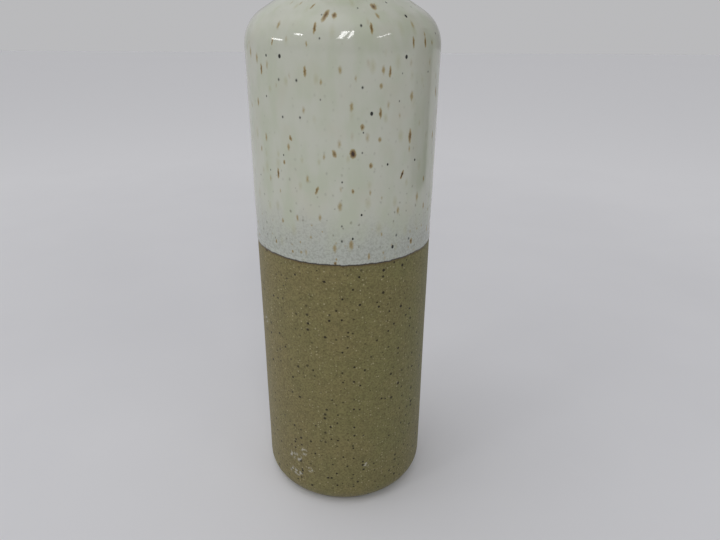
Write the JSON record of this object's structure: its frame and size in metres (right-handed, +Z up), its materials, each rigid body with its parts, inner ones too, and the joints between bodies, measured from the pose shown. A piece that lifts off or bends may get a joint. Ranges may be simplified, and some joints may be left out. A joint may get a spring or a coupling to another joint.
{
  "type": "bottle vase",
  "caption": "Tall bottle vase with a straight round body, rounded shoulder and narrow neck; bare stoneware below, speckled white glaze above, glazed inside.",
  "frame": {"origin": "centre of the foot, on the surface that the vase stands on", "axes": "+Z up along the vase's axis, out of its mouth; +X and +Y are free, because the shape is round"},
  "size_m": [0.0828, 0.0828, 0.2691],
  "materials": {
    "bare_stoneware": "matte unglazed stoneware with fine sand and dark iron specks",
    "white_glaze": "glossy off-white glaze with brown iron streaks and small dark specks",
    "liner_glaze": "glossy off-white glaze with a few small specks"
  },
  "bodies": {
    "root": {"stoneware_body": "bare_stoneware", "outer_glaze": "white_glaze", "liner_glaze": "liner_glaze"}
  },
  "joints": []
}
